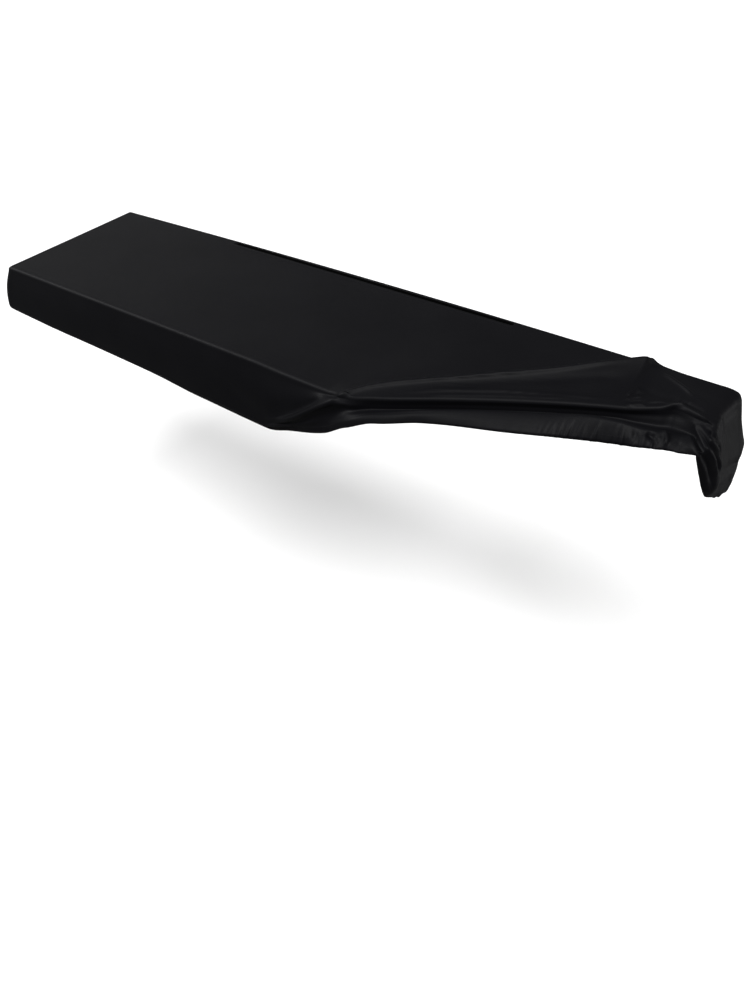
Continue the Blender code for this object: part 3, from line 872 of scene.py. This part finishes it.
def gathers(skirt, sides):
    """Return how far the elastic puckers the cloth: ridges of uneven height, width and length.

    Each is height * exp(-(off / width)^2 - (up / length)^2), where up is the cloth's length from
    the hem, and off is how far along the hem from the ridge, which leans as it goes up.
    """
    to_hem, along = hem_runs(skirt)
    hem_x = skirt[:, -1, 0] / MM
    hem_y = skirt[:, -1, 1] / MM
    front = [curve(FRONT_GATHERS, hem_x, column) for column in (1, 2, 3)]
    bunch = [curve(BUNCH_GATHERS, hem_y, column) for column in (1, 2, 3)]
    height, pitch, reach = (
        np.where(sides == 0, at_front, np.where(sides == 1, in_bunch, elsewhere)) * MM
        for at_front, in_bunch, elsewhere in zip(front, bunch, SIDE_GATHERS)
    )
    count = np.concatenate([[0.0], np.cumsum(np.diff(along) / pitch[1:])])
    chance = np.random.default_rng(GATHER_SEED)
    number = np.arange(0.5, count[-1] - 0.5)
    shift = chance.uniform(-GATHER_SHIFT, GATHER_SHIFT, len(number))
    place = np.interp(number + shift, count, along)
    height, pitch, reach = (np.interp(place, along, values) for values in (height, pitch, reach))
    height = height * chance.uniform(*GATHER_HEIGHTS, len(number))
    width = pitch * chance.uniform(*GATHER_WIDTHS, len(number))
    length = reach * chance.uniform(*GATHER_LENGTHS, len(number))
    lean = chance.uniform(-GATHER_LEAN, GATHER_LEAN, len(number))
    off = along[:, None, None] - place + to_hem[:, :, None] * lean
    ridges = height * np.exp(-((off / width) ** 2) - (to_hem[:, :, None] / length) ** 2)
    return ridges.sum(axis=2)


def casing(skirt):
    """Return the step of the turned hem, with the groove that its stitches pull in."""
    to_hem = hem_runs(skirt)[0]
    raised = CASING_HEIGHT * (1.0 - smoothstep((to_hem - CASING_WIDTH) / CASING_STEP))
    off = (to_hem - STITCH_FROM_HEM) / (GROOVE_SHARE * CASING_STEP)
    return raised - GROOVE_DEPTH * np.exp(-(off**2))


def slot_turning(top):
    """Return the step of the turned edge round the slot, raised within its width of the slot."""
    x, y = top[..., 0], top[..., 1]
    off_x = np.maximum(np.maximum(SLOT_X[0] - x, x - SLOT_X[1]), 0.0)
    off_y = np.maximum(np.maximum(SLOT_Y[0] - y, y - SLOT_Y[1]), 0.0)
    away = np.hypot(off_x, off_y)
    outer = (away / SLOT_TURNING - (1.0 - TURNING_FALL)) / TURNING_FALL
    return CASING_HEIGHT * (1.0 - smoothstep(outer))


def crease_heights(points):
    """Return how far the creases lift each point: height * exp(-(distance / width)^2), faded."""
    lift = np.zeros(len(points))
    for crease in CREASES:
        path = np.array(crease["path"], dtype=float)[None] * MM
        path = np.concatenate([path[:, :1], through(path, CREASE_STEPS)], axis=1)[0]
        width = crease["width"] * MM
        low = path.min(axis=0) - CREASE_REACH * width
        high = path.max(axis=0) + CREASE_REACH * width
        near = np.all((points > low) & (points < high), axis=1)
        gap = np.linalg.norm(points[near][:, None] - path[None], axis=2)
        share = np.argmin(gap, axis=1) / (len(path) - 1)
        fade = smoothstep(np.minimum(share, 1.0 - share) / CREASE_FADE)
        lift[near] += crease["height"] * MM * np.exp(-((gap.min(axis=1) / width) ** 2)) * fade
    return lift


def stitch_line(skirt, normals):
    """Return the places and normals of the hem's stitch line, at one length from the hem."""
    to_hem = hem_runs(skirt)[0]
    row = (to_hem > STITCH_FROM_HEM).sum(axis=1) - 1
    column = np.arange(len(skirt))
    upper, lower = to_hem[column, row], to_hem[column, row + 1]
    share = ((upper - STITCH_FROM_HEM) / (upper - lower))[:, None]
    place = skirt[column, row] + (skirt[column, row + 1] - skirt[column, row]) * share
    return place, normals[column, row]


def slot_line():
    """Return the stitch line in front of the slot, on its turned edge."""
    off = SLOT_TURNING * SLOT_STITCH_SHARE
    x = np.linspace(SLOT_X[0] - off, SLOT_X[1] + off, SLOT_STITCH_POINTS)
    y = np.full_like(x, SLOT_Y[0] - off)
    z = top_height(x, y) + CASING_HEIGHT
    return np.stack([x, y, z], axis=-1), np.tile([0.0, 0.0, 1.0], (len(x), 1))


def stitches(place, normal, closed):
    """Return small six-sided bars along a line: each a ring at four steps of a half ellipse."""
    if closed:
        place, normal = np.concatenate([place, place[:1]]), np.concatenate([normal, normal[:1]])
    gap = np.linalg.norm(np.diff(place, axis=0), axis=1)
    along = np.concatenate([[0.0], np.cumsum(gap)])
    at = np.arange(STITCH_PITCH / 2, along[-1] - STITCH_PITCH / 2, STITCH_PITCH)
    middle, up, ends = (
        np.stack([np.interp(at + shift, along, values[:, axis]) for axis in range(3)], axis=-1)
        for values, shift in ((place, 0.0), (normal, 0.0), (place, STITCH_LENGTH / 2))
    )
    run = ends - middle
    run = run / np.linalg.norm(run, axis=1, keepdims=True)
    side = np.cross(run, up)
    side = side / np.linalg.norm(side, axis=1, keepdims=True)
    up = np.cross(side, run)
    ring_at = np.array(STITCH_RINGS) * STITCH_LENGTH / 2
    ring_size = np.array(STITCH_RING_SIZES) * STITCH_RADIUS
    turn = np.arange(STITCH_SIDES) * 2.0 * np.pi / STITCH_SIDES
    spot = middle[:, None, None] + run[:, None, None] * ring_at[:, None, None]
    round_up = np.cos(turn)[:, None] * up[:, None, None] + np.sin(turn)[:, None] * side[:, None, None]
    spot = spot + round_up * ring_size[:, None, None]
    corners = len(ring_at) * STITCH_SIDES
    index = np.arange(corners).reshape(len(ring_at), STITCH_SIDES)
    after = np.roll(index, -1, axis=1)
    wall = np.stack([index[:-1], after[:-1], after[1:], index[1:]], axis=-1).reshape(-1, 4)
    first, last = index[0], index[-1]
    caps = np.array([first[[0, 5, 4, 3]], first[[3, 2, 1, 0]], last[[0, 1, 2, 3]], last[[3, 4, 5, 0]]])
    quads = np.concatenate([wall, caps])
    starts = np.arange(len(middle)) * corners
    return spot.reshape(-1, 3), (quads[None] + starts[:, None, None]).reshape(-1, 4)


def linear(code):
    """Turn a six-figure sRGB colour into linear red, green, blue and alpha."""
    parts = np.array([int(code[at:at + 2], 16) for at in (0, 2, 4)]) / 255.0
    low, high = parts / 12.92, ((parts + 0.055) / 1.055) ** 2.4
    return (*np.where(parts <= 0.04045, low, high), 1.0)


def add_node(tree, kind, links=(), **settings):
    """Add a node, set its named inputs or its own settings, and link its inputs."""
    node = tree.nodes.new(kind)
    for name, value in settings.items():
        if hasattr(node, name):
            setattr(node, name, value)
        else:
            node.inputs[name.replace("_", " ")].default_value = value
    for name, source in links:
        tree.links.new(source, node.inputs[name])
    return node


def knit_material():
    """Polyester and elastane jersey, knitted fine and brushed on its face.

    It is a deep matte black, with a soft grey bloom where the brushed face is seen edge on.
    """
    material = bpy.data.materials.new("black_brushed_jersey_knit")
    material.use_nodes = True
    tree = material.node_tree
    shader = tree.nodes["Principled BSDF"]
    cut = add_node(tree, "ShaderNodeUVMap", uv_map="cloth_cut")
    stitch = add_node(tree, "ShaderNodeMapping", [("Vector", cut.outputs["UV"])])
    stitch.inputs["Scale"].default_value = (1.0 / WALE, 1.0 / COURSE, 1.0)
    parts = add_node(tree, "ShaderNodeSeparateXYZ", [(0, stitch.outputs["Vector"])])
    wale = add_node(tree, "ShaderNodeMath", [(0, parts.outputs["X"])], operation="PINGPONG")
    wale.inputs[1].default_value = HALF_STITCH
    course = add_node(
        tree, "ShaderNodeMath", [(0, parts.outputs["Y"]), (1, wale.outputs[0])], operation="ADD",
    )
    loop = add_node(tree, "ShaderNodeMath", [(0, course.outputs[0])], operation="PINGPONG")
    loop.inputs[1].default_value = HALF_STITCH
    knit = add_node(tree, "ShaderNodeMath", [(0, loop.outputs[0]), (1, wale.outputs[0])], operation="ADD")
    fuzz = add_node(
        tree, "ShaderNodeTexNoise", [("Vector", cut.outputs["UV"])], Scale=TUFTS_A_METRE, Detail=3.0,
    )
    bump = add_node(tree, "ShaderNodeBump", [("Height", knit.outputs[0])], Strength=0.25, Distance=0.0003)
    fibre = add_node(
        tree, "ShaderNodeBump", [("Height", fuzz.outputs[0]), ("Normal", bump.outputs[0])],
        Strength=0.2, Distance=0.0003,
    )
    tree.links.new(fibre.outputs[0], shader.inputs["Normal"])

    uneven = add_node(
        tree, "ShaderNodeTexNoise", [("Vector", cut.outputs["UV"])], Scale=CLOUDS_A_METRE, Detail=2.0,
    )
    shade = add_node(tree, "ShaderNodeValToRGB", [("Fac", uneven.outputs[0])])
    shade.color_ramp.elements[0].position = 0.3
    shade.color_ramp.elements[0].color = linear("070709")
    shade.color_ramp.elements[1].position = 0.7
    shade.color_ramp.elements[1].color = linear("0a0a0c")
    tree.links.new(shade.outputs[0], shader.inputs["Base Color"])
    shader.inputs["Roughness"].default_value = 0.48
    shader.inputs["Specular IOR Level"].default_value = 0.05
    shader.inputs["Sheen Weight"].default_value = 0.003
    shader.inputs["Sheen Roughness"].default_value = 0.4
    shader.inputs["Sheen Tint"].default_value = linear("c8ccd2")
    return material


def thread_material():
    """Spun polyester sewing thread, twisted, matte and a shade lighter than the cloth."""
    material = bpy.data.materials.new("black_spun_polyester_thread")
    material.use_nodes = True
    tree = material.node_tree
    shader = tree.nodes["Principled BSDF"]
    place = add_node(tree, "ShaderNodeTexCoord")
    twist = add_node(
        tree, "ShaderNodeTexNoise", [("Vector", place.outputs["Object"])],
        Scale=TWISTS_A_METRE, Detail=2.0,
    )
    bump = add_node(tree, "ShaderNodeBump", [("Height", twist.outputs[0])], Strength=0.3, Distance=0.0002)
    tree.links.new(bump.outputs[0], shader.inputs["Normal"])
    shader.inputs["Base Color"].default_value = linear("111113")
    shader.inputs["Roughness"].default_value = 0.6
    shader.inputs["Specular IOR Level"].default_value = 0.08
    return material


def floor_material():
    """Matt pale grey paper, which the strong light makes a plain pale ground."""
    material = bpy.data.materials.new("matt_pale_paper")
    material.use_nodes = True
    shader = material.node_tree.nodes["Principled BSDF"]
    shader.inputs["Base Color"].default_value = linear("d8d8d8")
    shader.inputs["Roughness"].default_value = 0.9
    shader.inputs["Specular IOR Level"].default_value = 0.1
    return material


def build_camera():
    """Place the camera by its turn, its tilt down and its roll."""
    forward = np.array([-np.sin(YAW) * np.cos(PITCH), np.cos(YAW) * np.cos(PITCH), -np.sin(PITCH)])
    level = np.array([np.cos(YAW), np.sin(YAW), 0.0])
    below = np.cross(forward, level)
    right = np.cos(ROLL) * level + np.sin(ROLL) * below
    down = -np.sin(ROLL) * level + np.cos(ROLL) * below
    place = np.eye(4)
    place[:3, 0], place[:3, 1], place[:3, 2], place[:3, 3] = right, -down, -forward, CAMERA_AT
    lens = bpy.data.cameras.new("camera")
    lens.sensor_width = SENSOR
    lens.lens = FOCAL_PIXELS * SENSOR / FRAME_HEIGHT
    lens.shift_y = CAMERA_SHIFT
    lens.clip_start = 0.05
    camera = bpy.data.objects.new("camera", lens)
    camera.matrix_world = Matrix(place.tolist())
    bpy.context.scene.collection.objects.link(camera)
    bpy.context.scene.camera = camera


def build_cloth():
    """Make the sheet and its stitches: a closed loop of skirt columns hung on the top's rim.

    The puckers, steps and creases then move each point along the cloth's normal.
    """
    top = top_sheet()
    skirt = skirt_sheet(top)
    index, ring = cloth_index(top, skirt)
    points = np.concatenate([top.reshape(-1, 3), skirt[:, 1:].reshape(-1, 3)])
    upper, upper_columns, upper_rows = top_faces(index, top)
    lower = skirt_faces(ring)
    quads = np.concatenate([upper, lower.reshape(-1, 4)])
    detail = (gathers(skirt, sides_of(top)) + casing(skirt))[:, 1:]
    lift = np.concatenate([slot_turning(top).ravel(), detail.ravel()]) + crease_heights(points)
    points = points + point_normals(points, quads) * lift[:, None]
    normals = point_normals(points, quads)

    hem_place, hem_normal = stitch_line(points[ring], normals[ring])
    slot_place, slot_normal = slot_line()
    thread = build_stitches(
        stitches(hem_place, hem_normal, True), stitches(slot_place, slot_normal, False),
    )

    used = np.unique(quads)
    renumber = np.full(len(points), -1)
    renumber[used] = np.arange(len(used))
    points, quads = points[used], renumber[quads]
    uv = np.concatenate([top_cut(top)[upper_columns, upper_rows], skirt_cut(top, skirt).reshape(-1, 4, 2)])
    mesh = bpy.data.meshes.new("cover_sheet")
    mesh.from_pydata(points.tolist(), [], quads.tolist())
    mesh.uv_layers.new(name="cloth_cut").data.foreach_set("uv", uv.ravel())
    mesh.shade_smooth()
    mesh.materials.append(knit_material())
    cloth = bpy.data.objects.new("cover_sheet", mesh)
    bpy.context.scene.collection.objects.link(cloth)
    thickness = cloth.modifiers.new("cloth thickness", "SOLIDIFY")
    thickness.thickness = CLOTH
    thickness.offset = -1.0
    return cloth, thread


def build_stitches(*lines):
    """Join the stitches of every line into one mesh of thread."""
    points = np.concatenate([part[0] for part in lines])
    starts = np.cumsum([0] + [len(part[0]) for part in lines[:-1]])
    quads = np.concatenate([part[1] + start for part, start in zip(lines, starts)])
    mesh = bpy.data.meshes.new("hem_stitches")
    mesh.from_pydata(points.tolist(), [], quads.tolist())
    mesh.shade_smooth()
    mesh.materials.append(thread_material())
    thread = bpy.data.objects.new("hem_stitches", mesh)
    bpy.context.scene.collection.objects.link(thread)
    return thread


def top_cut(top):
    """Return the top's place on the flat cut, which is its place along and across."""
    return top[..., :2]


def skirt_cut(top, skirt):
    """Return the place of each skirt quad's corners on the flat cut: out by the length run."""
    run = np.linalg.norm(np.diff(skirt, axis=1), axis=2)
    down = np.concatenate([np.zeros((len(skirt), 1)), np.cumsum(run, axis=1)], axis=1)
    point = rim(top)
    sides = sides_of(top)
    face = np.array([(0, -1), (1, 0), (0, 1), (-1, 0)], dtype=float)[sides]
    start = point[:, None, :2] + face[:, None, :] * down[:, :, None]
    after_point, after_down = np.roll(point, -1, axis=0), np.roll(down, -1, axis=0)
    end = after_point[:, None, :2] + face[:, None, :] * after_down[:, :, None]
    return np.stack([start[:, :-1], start[:, 1:], end[:, 1:], end[:, :-1]], axis=2)


def build_floor():
    """Lay one wide square of floor below the cover, which neither stops nor throws back light."""
    half = 25.0
    height = -0.85
    corners = [(-half, -half, height), (half, -half, height), (half, half, height), (-half, half, height)]
    mesh = bpy.data.meshes.new("floor")
    mesh.from_pydata(corners, [], [(0, 1, 2, 3)])
    mesh.materials.append(floor_material())
    floor = bpy.data.objects.new("floor", mesh)
    bpy.context.scene.collection.objects.link(floor)
    floor.visible_diffuse = False
    floor.visible_glossy = False
    floor.visible_shadow = False


def turned_to(towards, at):
    """Return the place of something at a point whose back looks along a direction."""
    back = np.array(towards) / np.linalg.norm(towards)
    across = np.cross([0.0, 0.0, 1.0], back)
    across = across / np.linalg.norm(across)
    place = np.eye(4)
    place[:3, 0], place[:3, 1], place[:3, 2], place[:3, 3] = across, np.cross(back, across), back, at
    return Matrix(place.tolist())


def add_far_light(name, towards, width, strength):
    """Add a broad soft light that shines from a direction, width is how wide it looks."""
    lamp = bpy.data.lights.new(name, "SUN")
    lamp.angle = np.radians(width)
    lamp.energy = strength
    light = bpy.data.objects.new(name, lamp)
    light.matrix_world = turned_to(towards, np.array(towards) * LIGHT_AWAY)
    bpy.context.scene.collection.objects.link(light)


def build_light():
    """Light the cover softly from high at its front, with a pale sky that the camera sees white."""
    world = bpy.data.worlds.new("pale studio")
    bpy.context.scene.world = world
    world.use_nodes = True
    tree = world.node_tree
    soft = tree.nodes["Background"]
    soft.inputs["Color"].default_value = (1.0, 1.0, 1.0, 1.0)
    soft.inputs["Strength"].default_value = WORLD_STRENGTH
    seen = add_node(tree, "ShaderNodeBackground", Color=(1.0, 1.0, 1.0, 1.0), Strength=1.0)
    path = add_node(tree, "ShaderNodeLightPath")
    either = add_node(tree, "ShaderNodeMixShader", [(0, path.outputs["Is Camera Ray"])])
    tree.links.new(soft.outputs[0], either.inputs[1])
    tree.links.new(seen.outputs[0], either.inputs[2])
    tree.links.new(either.outputs[0], tree.nodes["World Output"].inputs["Surface"])
    for name, turn, height, width, strength in LIGHTS:
        turn, height = np.radians(turn), np.radians(height)
        level = np.cos(height)
        towards = (level * np.cos(turn), level * np.sin(turn), np.sin(height))
        add_far_light(name, towards, width, strength)
    bpy.context.scene.view_settings.view_transform = "Standard"


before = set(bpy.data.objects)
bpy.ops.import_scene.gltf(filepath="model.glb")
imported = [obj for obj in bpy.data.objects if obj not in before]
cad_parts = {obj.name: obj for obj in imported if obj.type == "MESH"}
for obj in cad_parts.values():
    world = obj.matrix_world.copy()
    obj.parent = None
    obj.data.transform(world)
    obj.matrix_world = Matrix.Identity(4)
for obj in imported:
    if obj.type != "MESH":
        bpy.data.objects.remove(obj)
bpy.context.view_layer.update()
build_camera()
cloth, thread = build_cloth()
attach(cloth, "root")
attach(thread, "root")
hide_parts("cover_cloth")
build_floor()
build_light()
